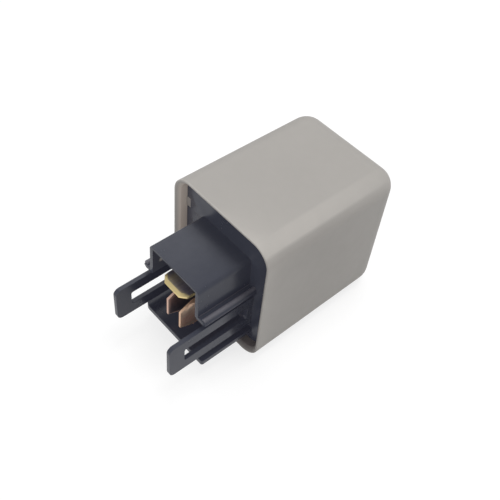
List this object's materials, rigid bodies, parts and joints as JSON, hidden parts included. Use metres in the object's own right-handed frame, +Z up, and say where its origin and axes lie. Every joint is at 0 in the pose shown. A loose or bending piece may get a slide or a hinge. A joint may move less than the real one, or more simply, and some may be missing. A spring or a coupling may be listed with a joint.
{
  "type": "automotive relay",
  "caption": "Plug-in relay: rounded grey cover, black moulded base with a hood, a tongue and slotted locking arms round flat blade terminals, with its armature inside.",
  "frame": {"origin": "middle of the bounding box seen from above, at the level of the surface that the relay lies on", "axes": "+Y from the connector to the closed end of the cover, +X across it, +Z up from the lower side of the cover to the hood side"},
  "size_m": [0.023, 0.0458, 0.028],
  "materials": {
    "cover_plastic": "satin moulded grey beige",
    "base_plastic": "satin moulded black",
    "terminal_brass": "stamped, lightly aged",
    "terminal_copper": "stamped copper alloy",
    "iron": "dull nickel plate",
    "bobbin_plastic": "moulded",
    "enamel_wire": "enamelled winding",
    "tape": "film tape",
    "tinned_pin": "tinned",
    "resistor_coat": "lacquer",
    "rivet_metal": "plated rivet",
    "plated_steel": "zinc plate",
    "contact_silver": "silver alloy",
    "spring_bronze": "rolled spring strip"
  },
  "bodies": {
    "relay_body": {"cover": "cover_plastic", "base": "base_plastic", "supply_terminal": "terminal_brass", "load_terminal": "terminal_copper", "ground_terminal": "terminal_copper", "yoke": "iron", "core": "iron", "bobbin": "bobbin_plastic", "winding": "enamel_wire", "winding_tape": "tape", "coil_pin_left": "tinned_pin", "coil_pin_right": "tinned_pin", "coil_lead_left": "enamel_wire", "coil_lead_right": "enamel_wire", "suppression_resistor": "resistor_coat", "yoke_rivets": "rivet_metal", "stop_strip": "plated_steel", "fixed_contact": "contact_silver"},
    "armature_group": {"armature": "iron", "armature_rivets": "rivet_metal", "contact_spring": "spring_bronze", "moving_contact": "contact_silver"}
  },
  "joints": [
    {"name": "armature_swing", "type": "hinge", "parent": "relay_body", "child": "armature_group", "pos_m": [0, 0.01698, 0.02565], "axis": [-1, 0, 0], "range_deg": [0, 3.5], "stiffness_Nm_per_rad": 0.05, "springref_deg": -5.73, "deforming": ["contact_spring"]}
  ]
}
